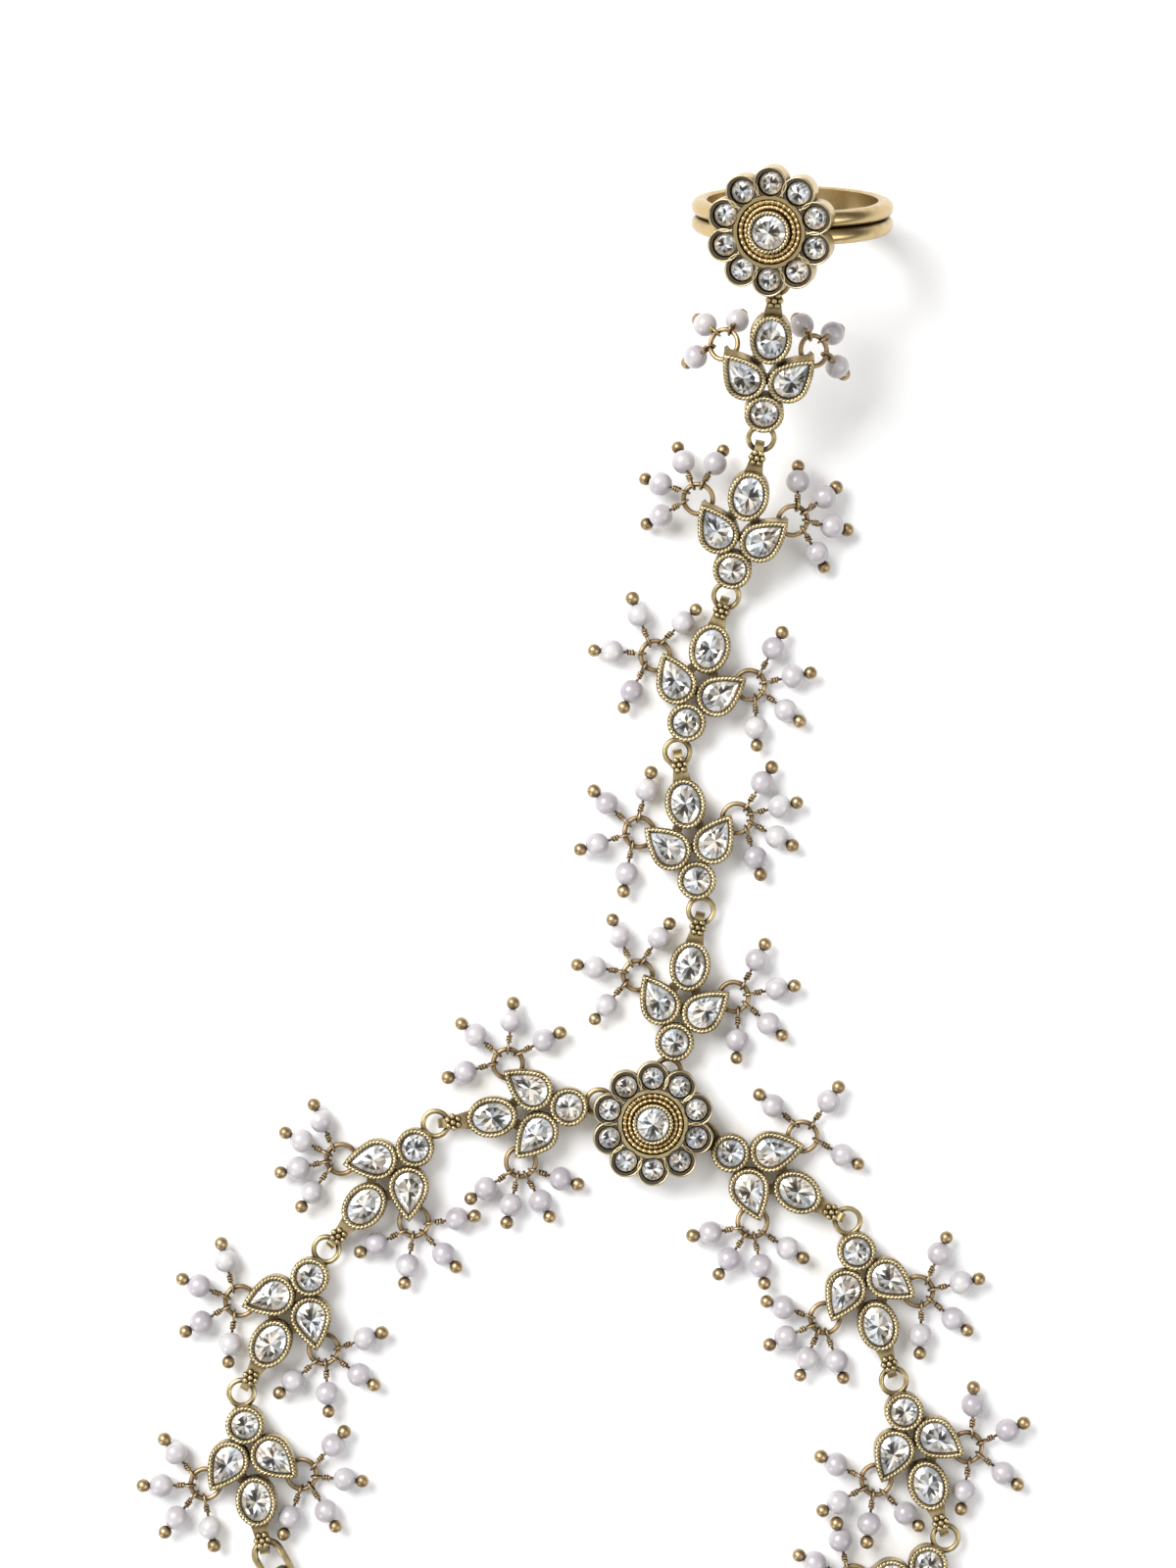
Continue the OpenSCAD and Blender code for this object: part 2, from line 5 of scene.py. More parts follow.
import bpy
import numpy as np
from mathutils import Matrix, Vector


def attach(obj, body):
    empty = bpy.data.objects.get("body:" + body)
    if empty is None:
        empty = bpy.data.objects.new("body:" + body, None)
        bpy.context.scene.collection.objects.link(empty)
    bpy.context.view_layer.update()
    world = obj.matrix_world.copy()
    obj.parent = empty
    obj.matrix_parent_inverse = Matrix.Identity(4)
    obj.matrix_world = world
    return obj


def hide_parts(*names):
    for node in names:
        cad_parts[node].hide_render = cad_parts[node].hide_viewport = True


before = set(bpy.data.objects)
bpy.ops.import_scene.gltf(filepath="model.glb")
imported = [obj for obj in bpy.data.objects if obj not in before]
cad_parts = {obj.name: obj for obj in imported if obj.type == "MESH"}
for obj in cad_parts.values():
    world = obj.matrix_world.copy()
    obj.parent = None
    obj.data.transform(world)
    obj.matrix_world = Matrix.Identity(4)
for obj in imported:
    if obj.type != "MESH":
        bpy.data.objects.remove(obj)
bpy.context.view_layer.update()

MM = 0.001
RAD = math.pi / 180

# Cluster link, in millimetres and degrees as in the part's source
BEZEL_LIFT = 1.1
BEZEL_HEIGHT = 1.6
BEZEL_WALL = 0.5
BEZEL_TOP = BEZEL_LIFT + BEZEL_HEIGHT
STONE_GAP = 0.06
ROUND_STONE_R = 1.4
OVAL_STONE_A = 2.0
OVAL_STONE_B = 1.5
OVAL_ALONG = 7.85
PEAR_STONE_R = 1.5
PEAR_STONE_TIP = 2.75
PEAR_SIDE_R = 7.0
PEAR_ALONG = 3.4
PEAR_ACROSS = 2.12
PEAR_TURN = 41

# Joints between links
LOOP_R = 1.28
LOOP_WIRE = 0.54
LOOP_BACK = 3.1
JOINT_GAP = 0.2
BAIL_AT = 11.95
BAIL_PLAY = 0.5
HOOK_ALONG = BAIL_AT + BAIL_PLAY / 2 + LOOP_R
JOINT_Z = BEZEL_LIFT + LOOP_WIRE / 2

# Drops and the rings they hang on
LUG_BAR = 0.3
LUG_INSET = 1.25
LUG_Z = LUG_BAR + (BEZEL_LIFT - LUG_BAR) / 2
DROP_RING_R = 1.5
DROP_RING_WIRE = 0.5
EYE_R = 0.55
PIN_WIRE = 0.26
PEARL_D = 2.45
BALL_D = 1.4
BALL_SINK = 0.1
PEARL_REACH = 2.9
BALL_REACH = PEARL_REACH + PEARL_D / 2 + BALL_D / 2 - BALL_SINK
EYE_ON_RING = DROP_RING_R + (EYE_R - PIN_WIRE / 2 - DROP_RING_WIRE / 2) / 2
# How far an eye follows its drop's direction, and how far a drop ring swings
EYE_FOLLOW = 0.8
SWING_LIMIT = 30

# Flowers
PETALS = 10
PETAL_AT = 4.62
PETAL_STONE_R = 1.1
PLATE = 0.55
PETAL_HEIGHT = 1.65
FLOWER_TOP = PLATE + PETAL_HEIGHT
HEART_STONE_R = 1.65
HEART_WALL = 0.34
HEART_RISE = 0.4
HEART_R = HEART_STONE_R + STONE_GAP + HEART_WALL
MEDALLION_Z = BEZEL_LIFT + LOOP_WIRE + JOINT_GAP

# Finger ring
FINGER_R = 8.5
BAND_WIDTH = 3.3
BAND_THICK = 1.5
BAND_ROUND = BAND_WIDTH / 4
RING_LEAN = 17.6
RING_ROLL = 14
HEAD_SINK = 0.4
HEAD_Z = FINGER_R + BAND_THICK - HEAD_SINK
HEAD_LOOP_AT = 5.3
HEAD_LOOP_DROP = 1.75

# One row a link, counted from the medallion. Headings turn left from +X and pitches rise from the surface.
# Slack is how far a link is drawn out of the one before it, beyond the middle of the play in their joint.
# Ring tilt is that of its drop rings, up from its own plane, and drop pitch that of its drops, from the
# surface.
HEADING, PITCH, SLACK, RING_TILT, DROP_PITCH = range(5)
HAND_RUN = [
    [78.5, 0, 0.1, 4, 8],
    [98.5, 0, -0.3, 4, 8],
    [72.7, 0, 0.1, 4, 8],
    [78.1, 20, 0.25, -12, -28],
    [86.0, 30, 0.0, -40, -60]
]
LEFT_RUN = [
    [187.5, 0, 0.2, 4, 8],
    [229.0, 0, 0.35, 4, 8],
    [239.4, 0, 0.35, 4, 8],
    [278.4, 0, 0.0, 4, 8]
]
RIGHT_RUN = [
    [-30.4, 0, 0.35, 4, 8],
    [-73.9, 0, 0.35, 4, 8],
    [-71.8, 0, 0.2, 4, 8],
    [-126.0, 0, 0.0, 4, 8]
]
# Where each run's first loop sits in the medallion: angle and distance
STARTS = {"hand": (72.5, 5.35), "left": (160, 5.75), "right": (-16.3, 5.45)}
# A link's fans of drops, left and right: the directions of the first and the last drop from the tip's own,
# and how many drops there are
HAND_FANS = [
    [[65, -110, 4], [25, -130, 4]],
    [[65, -120, 4], [0, -130, 4]],
    [[70, -130, 4], [30, -120, 4]],
    [[60, -90, 4], [50, -95, 4]],
    [[70, -80, 3], [70, -80, 3]]
]
LEFT_FANS = [
    [[15, -115, 4], [50, -120, 4]],
    [[65, -100, 4], [45, -75, 4]],
    [[60, -100, 4], [65, -95, 4]],
    [[70, -90, 4], [45, -110, 4]]
]
RIGHT_FANS = [
    [[40, -130, 3], [40, -100, 4]],
    [[60, -100, 4], [45, -85, 4]],
    [[70, -120, 4], [70, -95, 4]],
    [[60, -85, 4], [60, -90, 4]]
]
RUNS = {"hand": (HAND_RUN, HAND_FANS), "left": (LEFT_RUN, LEFT_FANS), "right": (RIGHT_RUN, RIGHT_FANS)}

# Fine detail of the links' settings. Each detail is a rim's strokes of rope and its stone's wedges.
ROUND_DETAIL = (27, 8)
OVAL_DETAIL = (33, 9)
PEAR_DETAIL = (34, 9)
ROPE_WIDTH = 0.52
ROPE_SINK = 0.02
STONE_SINK = 0.16
STONE_RISE = 0.34
STONE_DEPTH = 0.95

# Fine detail of the flowers
PETAL_SINK = 0.45
PETAL_RISE = 0.26
PETAL_DEPTH = 0.9
PETAL_WEDGES = 7
# A flat dark ring of painted shade round each petal stone, where its recess would be: its radii and its lift.
SHADE_RING_INNER_R = PETAL_STONE_R + 0.16
SHADE_RING_OUTER_R = PETAL_STONE_R + 0.42
SHADE_RING_LIFT = 0.012
PETAL_RIM_R = PETAL_STONE_R + 0.44
PETAL_RIM_LIFT = 0.02
PETAL_RIM_WIRE_R = 0.1
# The angles between which a petal's rim runs; it is open towards the beads
PETAL_RIM_FROM = -52
PETAL_RIM_TO = 232
HEART_LIFT = 0.26
HEART_STONE_RISE = 0.36
HEART_STONE_DEPTH = 1.0
HEART_WEDGES = 10
HEART_ROPE_WIDTH = 0.44
HEART_ROPE_INSET = 0.16
HEART_STROKES = 32
# Two circles of beads round the heart: distance from its wall, and the beads' radius
BEAD_CIRCLES = ((0.27, 0.29), (0.81, 0.31))
BEADS = 30
BEAD_SINK = 0.26

# Fine detail of the drops
EYE_STEPS = 22
EYE_DRAWN = 0.16
WRAP_TURNS = 2.6
WRAP_STEPS = 34
WRAP_FROM = EYE_R + 0.06
WRAP_TO = EYE_R + 0.78
WRAP_R = 0.215
WRAP_WIRE_R = 0.125
PIN_R = 0.14
# A wrap starts at any angle up to this, in radians
WRAP_PHASES = 6
# The two stretches of pin that show, above and below the pearl, from the eye's middle
PIN_STRETCHES = ((EYE_R - 0.02, PEARL_REACH - 0.9), (PEARL_REACH + 1.0, BALL_REACH - 0.4))
# Least size of a ball and of a pearl, as a share of their solids', and how far it varies
BALL_LEAST = 0.94
BALL_SPREAD = 0.08
PEARL_LEAST = 0.97
PEARL_SPREAD = 0.03

# Columns and rows of faces on a sphere
BEAD_GRID = (10, 7)
BALL_GRID = (14, 10)
PEARL_GRID = (20, 13)


def way(h, p):
    """The direction with a heading and a pitch."""
    return np.array([math.cos(p * RAD) * math.cos(h * RAD), math.cos(p * RAD) * math.sin(h * RAD),
                     math.sin(p * RAD)])


def across(h):
    """The level direction to the left of a heading."""
    return np.array([-math.sin(h * RAD), math.cos(h * RAD), 0.0])


def up_of(h, p):
    """The direction square to way() and across()."""
    return np.array([-math.sin(p * RAD) * math.cos(h * RAD), -math.sin(p * RAD) * math.sin(h * RAD),
                     math.cos(p * RAD)])


def ring_turn(v):
    """A vector of the finger ring's own frame, rolled and leaned as the ring lies."""
    roll, lean = RING_ROLL * RAD, RING_LEAN * RAD
    x = v[0] * math.cos(roll) - v[2] * math.sin(roll)
    z = v[0] * math.sin(roll) + v[2] * math.cos(roll)
    return np.array([x, v[1] * math.cos(lean) - z * math.sin(lean),
                     v[1] * math.sin(lean) + z * math.cos(lean)])


def loop_from(wire, drawn, up):
    """The middle of a loop square to up, from the wire that the bail holds."""
    level = drawn - (drawn @ up) * up
    return wire + LOOP_R * level / np.linalg.norm(level)


def path(run, start):
    """Middles of the loops along a run, and of the loop that its last bail would hold."""
    angle, distance = start
    middle = np.array([distance * math.cos(angle * RAD), distance * math.sin(angle * RAD), JOINT_Z])
    found = [middle]
    for i, row in enumerate(run):
        drawn = way(row[HEADING], row[PITCH])
        wire = middle + (LOOP_BACK + HOOK_ALONG + row[SLACK] - LOOP_R) * drawn
        last = i == len(run) - 1
        up = ring_turn([0, 0, 1]) if last else up_of(run[i + 1][HEADING], run[i + 1][PITCH])
        middle = loop_from(wire, drawn, up)
        found.append(middle)
    return found


# The finger ring stands on the surface, so the last link's pitch is the one that brings its bail to the
# height of the loop under the ring's flower. Each round of this corrects the last.
RING_Z = ((FINGER_R + BAND_THICK - BAND_ROUND) * math.cos(RING_LEAN * RAD)
          + BAND_ROUND * math.sin(RING_LEAN * RAD) + BAND_ROUND)
HEAD_LOOP = ring_turn([0, -HEAD_LOOP_AT, HEAD_Z - HEAD_LOOP_DROP])
PITCH_ROUNDS = 12
last_row = HAND_RUN[-1]
for _ in range(PITCH_ROUNDS):
    short = RING_Z + HEAD_LOOP[2] - path(HAND_RUN, STARTS["hand"])[-1][2]
    last_row[PITCH] += short / ((LOOP_BACK + HOOK_ALONG + last_row[SLACK])
                                * math.cos(last_row[PITCH] * RAD)) / RAD
RING_AT = path(HAND_RUN, STARTS["hand"])[-1] - HEAD_LOOP


class Place:
    """A frame in millimetres: a point and the directions of its x, y and z."""

    def __init__(self, middle, x, y, z):
        self.middle, self.axes = np.array(middle, float), np.array([x, y, z], float)

    def at(self, pts):
        """Points of this frame, as points of the part."""
        return self.middle + np.asarray(pts, float) @ self.axes

    def point(self, x, y, z):
        return self.at([[x, y, z]])[0]

    def along(self, direction):
        """A direction of this frame, as one of the part."""
        return direction @ self.axes

    def turn(self, angle, offset=(0, 0, 0)):
        """This frame turned about its own z and moved within itself."""
        c, s = math.cos(angle * RAD), math.sin(angle * RAD)
        x, y, z = self.axes
        return Place(self.at(offset), c * x + s * y, c * y - s * x, z)


def link_places(name):
    """The frames of a run's links, each under its round stone with x along the link."""
    run = RUNS[name][0]
    found = []
    for row, loop in zip(run, path(run, STARTS[name])):
        h, p = row[HEADING], row[PITCH]
        x, y, z = way(h, p), across(h), up_of(h, p)
        found.append(Place(loop + LOOP_BACK * x - JOINT_Z * z, x, y, z))
    return found


def pear_place(place, side):
    """The frame of a link's left (1) or right (-1) pear, with x towards its tip."""
    return place.turn(side * PEAR_TURN, (PEAR_ALONG, side * PEAR_ACROSS, 0))


MEDALLION = Place([0, 0, MEDALLION_Z], [1, 0, 0], [0, 1, 0], [0, 0, 1])
HEAD = Place(RING_AT + ring_turn([0, 0, HEAD_Z]), ring_turn([1, 0, 0]), ring_turn([0, 1, 0]),
             ring_turn([0, 0, 1]))

# Outlines of the stones, grown by some distance. A pear's sides are arcs about (PEAR_X, -PEAR_Y) and
# (PEAR_X, PEAR_Y).
PEAR_X = ((PEAR_SIDE_R - PEAR_STONE_R) ** 2 - PEAR_SIDE_R ** 2 + PEAR_STONE_TIP ** 2) / (2 * PEAR_STONE_TIP)
PEAR_Y = math.sqrt((PEAR_SIDE_R - PEAR_STONE_R) ** 2 - PEAR_X ** 2)
SIDE_STEPS = 30
END_STEPS = 60
OVAL_STEPS = 96


def pear_tip(grow):
    """How far a pear's tip lies from the middle of its round end."""
    return PEAR_X + math.sqrt((PEAR_SIDE_R + grow) ** 2 - PEAR_Y ** 2)


def pear_outline(grow):
    side, end = PEAR_SIDE_R + grow, PEAR_STONE_R + grow
    join = math.atan2(PEAR_Y, -PEAR_X)
    tip = math.asin(PEAR_Y / side)
    left = [(PEAR_X + side * math.cos(a), -PEAR_Y + side * math.sin(a))
            for a in np.linspace(tip, join, SIDE_STEPS)]
    back = [(end * math.cos(a), end * math.sin(a)) for a in np.linspace(join, 2 * math.pi - join, END_STEPS)]
    right = [(x, -y) for x, y in reversed(left)]
    return np.array(left[:-1] + back + right[1:])


def circle_angles(n):
    """n angles evenly round a circle."""
    return np.linspace(0, 2 * math.pi, n + 1)[:-1]


def arc_points(r, angles, z):
    return np.stack([r * np.cos(angles), r * np.sin(angles), np.full(len(angles), z)], 1)


def ellipse(a, b):
    t = circle_angles(OVAL_STEPS)
    return np.stack([a * np.cos(t), b * np.sin(t)], 1)


def oval_outline(grow):
    return ellipse(OVAL_STONE_A + grow, OVAL_STONE_B + grow)


def round_outline(r):
    return ellipse(r, r)


def resample(outline, n):
    """n points evenly round a closed outline."""
    closed = np.vstack([outline, outline[:1]])
    run = np.r_[0, np.cumsum(np.linalg.norm(np.diff(closed, axis=0), axis=1))]
    t = np.linspace(0, run[-1], n + 1)[:-1]
    return np.stack([np.interp(t, run, closed[:, k]) for k in (0, 1)], 1)


class Shape:
    """Gathers patches of faces, in mm, and makes one object of them."""

    def __init__(self):
        self.points, self.faces, self.smooth, self.tones, self.count = [], [], [], [], 0

    def add(self, pts, faces, smooth=True, tones=None):
        self.points.append(np.asarray(pts, float))
        self.faces += [tuple(int(i) + self.count for i in face) for face in faces]
        self.smooth += [smooth] * len(faces)
        self.tones += tones or [1.0] * len(faces)
        self.count += len(pts)

    def make(self, name, material):
        mesh = bpy.data.meshes.new(name)
        mesh.from_pydata((np.vstack(self.points) * MM).tolist(), [], self.faces)
        mesh.materials.append(material)
        mesh.polygons.foreach_set("use_smooth", self.smooth)
        tone = mesh.attributes.new("tone", "FLOAT", "FACE")
        tone.data.foreach_set("value", np.array(self.tones, np.float32))
        mesh.update()
        obj = bpy.data.objects.new(name, mesh)
        bpy.context.scene.collection.objects.link(obj)
        return obj


def grid_faces(rows, cols, close_rows):
    """Faces between rows of points, each row a closed ring of cols points."""
    found = []
    for i in range(rows if close_rows else rows - 1):
        here, there = i * cols, (i + 1) % rows * cols
        for j in range(cols):
            after = (j + 1) % cols
            found.append((here + j, here + after, there + after, there + j))
    return found


# How far a wire's first direction may rise before its section is laid out from X instead of Z
STEEP = 0.8


def tube(shape, pts, r, sides, closed=False):
    """A round wire along points in space."""
    pts = np.asarray(pts, float)
    n = len(pts)
    if closed:
        ahead = np.roll(pts, -1, 0) - np.roll(pts, 1, 0)
    else:
        ahead = np.gradient(pts, axis=0)
    ahead /= np.linalg.norm(ahead, axis=1)[:, None]
    u = np.cross(ahead[0], [0, 0, 1.0] if abs(ahead[0][2]) < STEEP else [1.0, 0, 0])
    u /= np.linalg.norm(u)
    a = circle_angles(sides)[:, None]
    rings = []
    for k in range(n):
        u = u - (u @ ahead[k]) * ahead[k]
        u /= np.linalg.norm(u)
        w = np.cross(ahead[k], u)
        rings.append(pts[k] + r * (np.cos(a) * u + np.sin(a) * w))
    faces = grid_faces(n, sides, closed)
    if not closed:
        faces += [tuple(range(sides - 1, -1, -1)), tuple((n - 1) * sides + j for j in range(sides))]
    shape.add(np.vstack(rings), faces)


# A rope's section is two strands side by side, as shares of its width, and the groove between them. It
# makes a quarter of a half turn at each step.
ROPE_STEPS = 4
ROPE_SIDES = 10
STRAND_SHARE = 0.29
OFFSET_SHARE = 0.235
GROOVE_SHARE = 0.35


def rope(shape, place, outline, z, width, strokes):
    """A twisted rim along a flat closed outline."""
    steps = strokes * ROPE_STEPS
    p = resample(outline, steps)
    ahead = np.roll(p, -1, 0) - np.roll(p, 1, 0)
    ahead /= np.linalg.norm(ahead, axis=1)[:, None]
    outwards = np.stack([ahead[:, 1], -ahead[:, 0]], 1)
    a = circle_angles(ROPE_SIDES)
    strand, offset = width * STRAND_SHARE, width * OFFSET_SHARE
    pts = []
    for k in range(steps):
        q = a - math.pi * k / ROPE_STEPS
        inside = np.maximum(strand ** 2 - (offset * np.sin(q)) ** 2, (GROOVE_SHARE * strand) ** 2)
        r = offset * np.abs(np.cos(q)) + np.sqrt(inside)
        ring = np.zeros((ROPE_SIDES, 3))
        ring[:, :2] = p[k] + (r * np.cos(a))[:, None] * outwards[k]
        ring[:, 2] = z + r * np.sin(a)
        pts.append(ring)
    shape.add(place.at(np.vstack(pts)), grid_faces(steps, ROPE_SIDES, True))


def ball(shape, middle, r, grid, stretch=(1, 1, 1)):
    """A sphere, stretched by a factor along each of x, y and z."""
    cols, rows = grid
    pts = [[0, 0, r]]
    for i in range(1, rows):
        b = math.pi * i / rows
        for j in range(cols):
            a = 2 * math.pi * j / cols
            pts.append([r * math.sin(b) * math.cos(a), r * math.sin(b) * math.sin(a), r * math.cos(b)])
    pts.append([0, 0, -r])
    faces = [(0, 1 + j, 1 + (j + 1) % cols) for j in range(cols)]
    for i in range(rows - 2):
        for j in range(cols):
            a, b = 1 + i * cols + j, 1 + i * cols + (j + 1) % cols
            faces.append((a, a + cols, b + cols, b))
    end = len(pts) - 1
    faces += [(end, end - cols + (j + 1) % cols, end - cols + j) for j in range(cols)]
    shape.add(np.array(pts) * np.asarray(stretch) + np.asarray(middle), faces)


# Cut stones. Each facet carries a tone of painted reflection, so the stone shows wedges of painted light and
# dark round its middle; each wedge has its own slope and its own tone. Tones are taken from this list in
# strides.
TONES = [1.0, 0.55, 0.92, 0.2, 0.8, 0.42, 1.0, 0.3, 0.7, 0.95, 0.12, 0.62]
WEDGE_STRIDE = 5
RIM_STRIDE = 7
TABLE_STRIDE = 3
# Even and odd corners between the rim and the table: share of the way out, and share of the rise
KNEE_OUT = (0.72, 0.66)
KNEE_RISE = (0.62, 0.82)
TABLE_OUT = 0.36
TABLE_RISE = (0.88, 1.0)
MIDDLE_RISE = 0.94


def stone_face(shape, place, outline, z, rise, wedges, seed):
    """The cut face of a stone: facets up from its rim to a many-sided table."""
    corners = wedges * 2
    rim = resample(outline, corners)
    middle = rim.mean(0)

    def corner(k, out, share):
        x, y = middle + (rim[k] - middle) * out
        return [x, y, z + rise * share]

    pts = [[x, y, z] for x, y in rim]
    pts += [corner(k, KNEE_OUT[k % 2], KNEE_RISE[k % 2]) for k in range(corners)]
    pts += [corner(2 * k, TABLE_OUT, TABLE_RISE[k % 2]) for k in range(wedges)]
    pts.append([middle[0], middle[1], z + rise * MIDDLE_RISE])
    start = random.Random(seed).randrange(len(TONES))

    def tone(step):
        return TONES[(start + step) % len(TONES)]

    faces, tones = [], []
    for k in range(corners):
        after = (k + 1) % corners
        faces += [(k, after, corners + after), (k, corners + after, corners + k)]
        # Facets next to the rim get a paler painted reflection than their wedge.
        tones += [0.55 + 0.45 * tone(k // 2 * WEDGE_STRIDE), 0.35 + 0.5 * tone(k * RIM_STRIDE)]
    table = 2 * corners
    for k in range(wedges):
        a, b, d = corners + 2 * k, corners + 2 * k + 1, corners + (2 * k + 2) % corners
        i, j = table + k, table + (k + 1) % wedges
        wedge, beside = tone(k * WEDGE_STRIDE), tone(k * WEDGE_STRIDE + TABLE_STRIDE)
        faces += [(a, b, i), (b, j, i), (b, d, j), (i, j, table + wedges)]
        tones += [wedge, beside, 0.2 + 0.5 * wedge, beside]
    shape.add(place.at(pts), faces, False, tones)


BACK_STEPS = 24
BACK_SIDE = 0.3
BACK_TAPER = 0.96
# One tone of painted reflection for every stone's side and back.
BACK_TONE = 0.4


def stone_back(shape, place, outline, z, depth):
    """The stone's side and its pointed back, under its rim."""
    rim = resample(outline, BACK_STEPS)
    pts = [[x, y, z] for x, y in rim]
    pts += [[x * BACK_TAPER, y * BACK_TAPER, z - BACK_SIDE] for x, y in rim]
    pts.append([0, 0, z - depth])
    faces, culet = [], 2 * BACK_STEPS
    for k in range(BACK_STEPS):
        after = (k + 1) % BACK_STEPS
        faces += [(after, k, BACK_STEPS + k, BACK_STEPS + after), (BACK_STEPS + after, BACK_STEPS + k, culet)]
    shape.add(place.at(pts), faces, False, [BACK_TONE] * len(faces))


def set_stone(shape, place, outline, z, rise, depth, wedges, seed):
    """A whole cut stone with its rim at height z."""
    stone_face(shape, place, outline, z, rise, wedges, seed)
    stone_back(shape, place, outline, z, depth)


def link_settings(place):
    """Each setting of a link: its frame, its outline at a given growth, its rope's strokes, its wedges."""
    yield place, lambda grow: round_outline(ROUND_STONE_R + grow), *ROUND_DETAIL
    yield place.turn(0, (OVAL_ALONG, 0, 0)), oval_outline, *OVAL_DETAIL
    for side in (1, -1):
        yield pear_place(place, side), pear_outline, *PEAR_DETAIL


def dress_links(name):
    """The rope rims and the cut stones of a whole run."""
    rims, stones = Shape(), Shape()
    for i, place in enumerate(link_places(name)):
        for k, (spot, outline, strokes, wedges) in enumerate(link_settings(place)):
            rope(rims, spot, outline(STONE_GAP + BEZEL_WALL / 2), BEZEL_TOP - ROPE_SINK, ROPE_WIDTH, strokes)
            set_stone(stones, spot, outline(0), BEZEL_TOP - STONE_SINK, STONE_RISE, STONE_DEPTH, wedges,
                      f"{name}{i}{k}")
    return rims, stones


CELL_STEPS = 48
CELL_RIM_STEPS = 40
CELL_RIM_SIDES = 7


def petal_cell(rims, shades, spot):
    """A petal's thin bright rim, with a flat dark ring of painted shade between it and the stone, where the
    recess would be.
    """
    turns = circle_angles(CELL_STEPS)
    pts = np.concatenate([arc_points(r, turns, FLOWER_TOP + SHADE_RING_LIFT)
                          for r in (SHADE_RING_INNER_R, SHADE_RING_OUTER_R)])
    faces = [(k, CELL_STEPS + k, CELL_STEPS + (k + 1) % CELL_STEPS, (k + 1) % CELL_STEPS)
             for k in range(CELL_STEPS)]
    shades.add(spot.at(pts), faces, False)
    arc = np.radians(np.linspace(PETAL_RIM_FROM, PETAL_RIM_TO, CELL_RIM_STEPS))
    line = arc_points(PETAL_RIM_R, arc, FLOWER_TOP + PETAL_RIM_LIFT)
    tube(rims, spot.at(line), PETAL_RIM_WIRE_R, CELL_RIM_SIDES)


def dress_flower(place, name):
    """The rims, stones, beads and painted recess shade of one flower."""
    rims, stones, beads, shades = Shape(), Shape(), Shape(), Shape()
    for k in range(PETALS):
        spot = place.turn(360 * k / PETALS).turn(0, (0, PETAL_AT, 0))
        set_stone(stones, spot, round_outline(PETAL_STONE_R), FLOWER_TOP - PETAL_SINK, PETAL_RISE,
                  PETAL_DEPTH, PETAL_WEDGES, f"{name}{k}")
        petal_cell(rims, shades, spot)
    rope(rims, place, round_outline(HEART_R - HEART_ROPE_INSET), FLOWER_TOP + HEART_RISE, HEART_ROPE_WIDTH,
         HEART_STROKES)
    set_stone(stones, place, round_outline(HEART_STONE_R), FLOWER_TOP + HEART_LIFT, HEART_STONE_RISE,
              HEART_STONE_DEPTH, HEART_WEDGES, name)
    for out, size in BEAD_CIRCLES:
        for k in range(BEADS):
            a = 2 * math.pi * k / BEADS
            spot = place.point((HEART_R + out) * math.cos(a), (HEART_R + out) * math.sin(a),
                               FLOWER_TOP - BEAD_SINK)
            ball(beads, spot, size, BEAD_GRID)
    return rims, stones, beads, shades


WIRE_SIDES = 7
WRAP_SIDES = 6


def eye_points(eye, hang, beside):
    """A teardrop of wire about the drop ring, drawn in towards the pearl."""
    pts = []
    for k in range(EYE_STEPS):
        a = 2 * math.pi * k / EYE_STEPS
        r = EYE_R * (1 + EYE_DRAWN * max(0, math.cos(a)) ** 3)
        pts.append(eye + r * math.cos(a) * hang + r * math.sin(a) * beside)
    return pts


def dress_drop(pearls, wires, eye, hang, ring_wire, pick):
    """One drop that hangs from its eye: the eye's wire, its wraps, the pin, the ball and the pearl."""
    level = ring_wire - (ring_wire @ hang) * hang
    level /= np.linalg.norm(level)
    beside = np.cross(level, hang)
    tube(wires, eye_points(eye, hang, beside), PIN_WIRE / 2, WIRE_SIDES, True)
    t = np.linspace(0, 1, WRAP_STEPS)
    a = 2 * math.pi * WRAP_TURNS * t + pick.random() * WRAP_PHASES
    wrap = eye + np.outer(WRAP_FROM + (WRAP_TO - WRAP_FROM) * t, hang)
    wrap += WRAP_R * (np.outer(np.cos(a), level) + np.outer(np.sin(a), beside))
    tube(wires, wrap, WRAP_WIRE_R, WRAP_SIDES)
    for start, end in PIN_STRETCHES:
        tube(wires, [eye + start * hang, eye + end * hang], PIN_R, WIRE_SIDES)
    ball(wires, eye + BALL_REACH * hang, BALL_D / 2 * (BALL_LEAST + BALL_SPREAD * pick.random()), BALL_GRID)
    # A pearl is a little uneven, never larger than its solid.
    stretch = [PEARL_LEAST + PEARL_SPREAD * pick.random() for _ in range(3)]
    ball(pearls, eye + PEARL_REACH * hang, PEARL_D / 2, PEARL_GRID, stretch)


def dress_fan(pearls, wires, place, row, fan, side, pick):
    """The drops on one ring of a link, spread evenly from the fan's first to its last direction."""
    first, last, count = fan
    swing = max(-SWING_LIMIT, min(SWING_LIMIT, (first + last) / 2))
    tip = pear_tip(BEZEL_WALL + STONE_GAP) - LUG_INSET
    lug = pear_place(place, side).point(tip, 0, LUG_Z)
    heading = side * (PEAR_TURN - swing)
    out = place.along(way(heading, row[RING_TILT]))
    over = place.along(across(heading))
    middle = lug + DROP_RING_R * out
    for lies in np.linspace(first, last, count):
        turn = -side * EYE_FOLLOW * (lies - swing) * RAD
        eye = middle + EYE_ON_RING * (math.cos(turn) * out + math.sin(turn) * over)
        ring_wire = math.cos(turn) * over - math.sin(turn) * out
        hang = way(row[HEADING] + side * (PEAR_TURN - lies), row[DROP_PITCH])
        dress_drop(pearls, wires, eye, hang, ring_wire, pick)


